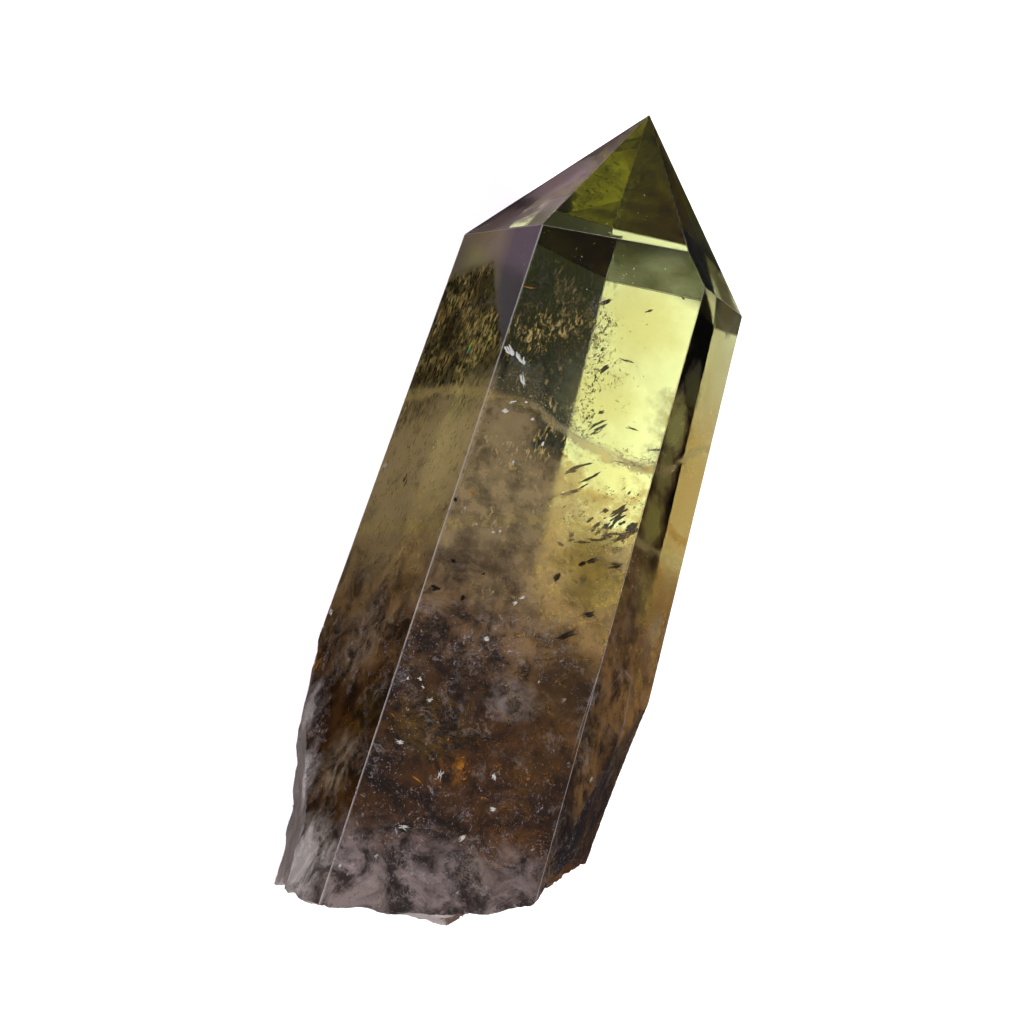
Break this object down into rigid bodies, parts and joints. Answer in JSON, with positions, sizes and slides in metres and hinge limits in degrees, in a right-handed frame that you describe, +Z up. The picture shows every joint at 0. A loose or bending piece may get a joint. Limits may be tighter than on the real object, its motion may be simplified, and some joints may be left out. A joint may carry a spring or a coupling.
{
  "type": "lemon quartz crystal",
  "caption": "Single-terminated quartz point, lemon yellow at the tip and smoky brown towards its broken base, lying on one flat prism face.",
  "frame": {"origin": "on the surface the crystal rests on, under the middle of its bounding box", "axes": "+Z up from the resting face, +Y along the crystal towards its tip"},
  "size_m": [0.0434, 0.1023, 0.0343],
  "materials": {
    "quartz": "clear polished quartz on the faces, frosted where broken, refractive index 1.544"
  },
  "bodies": {
    "root": {"quartz_crystal": "quartz"}
  },
  "joints": []
}
